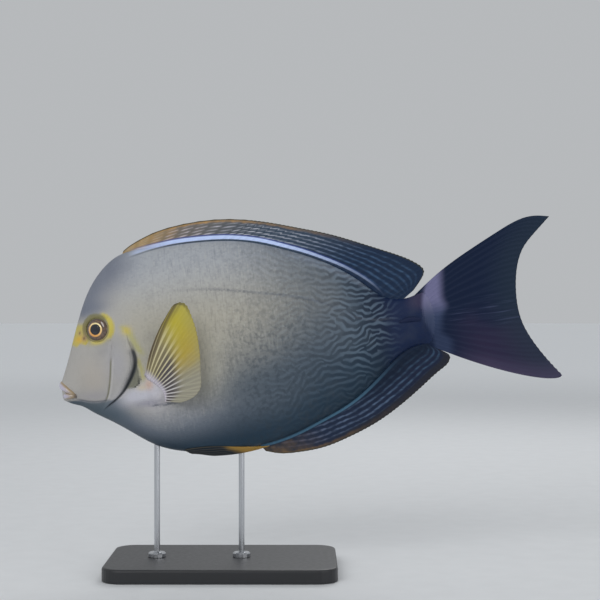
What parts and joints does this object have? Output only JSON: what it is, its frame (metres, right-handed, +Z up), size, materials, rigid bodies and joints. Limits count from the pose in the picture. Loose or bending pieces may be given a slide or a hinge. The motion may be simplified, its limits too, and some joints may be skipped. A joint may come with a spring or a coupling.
{
  "type": "yellowfin surgeonfish model",
  "caption": "Life-size display model of a yellowfin surgeonfish, swimming pose, fins spread, held over a flat base by thin rods.",
  "frame": {"origin": "centre of the whole part's box on the underside of the stand's base", "axes": "+Z up, the fish faces -X with its nose a little down, its left side towards -Y; its middle plane is y = 0"},
  "size_m": [0.4525, 0.13, 0.3201],
  "materials": {
    "skin": "satin painted skin with fine scales",
    "head_skin": "satin painted skin",
    "lips": "moist, pale",
    "eye": "glossy",
    "dark_fin": "satin",
    "yellow_fin": "satin",
    "blade": "smooth",
    "stand_plate": "satin black",
    "stand_steel": "brushed"
  },
  "bodies": {
    "root": {"head": "head_skin", "gill_cover_left": "head_skin", "gill_cover_right": "head_skin", "upper_lip": "lips", "lower_lip": "lips", "eye_left": "eye", "eye_right": "eye", "trunk": "skin", "tail_stalk": "skin", "tail_blade_left": "blade", "tail_blade_right": "blade", "dorsal_fin": "dark_fin", "anal_fin": "dark_fin", "tail_fin": "dark_fin", "pectoral_fin_left": "yellow_fin", "pectoral_fin_right": "yellow_fin", "pelvic_fin_left": "dark_fin", "pelvic_fin_right": "dark_fin", "stand_base": "stand_plate", "stand_rod_front": "stand_steel", "stand_rod_rear": "stand_steel"}
  },
  "joints": []
}
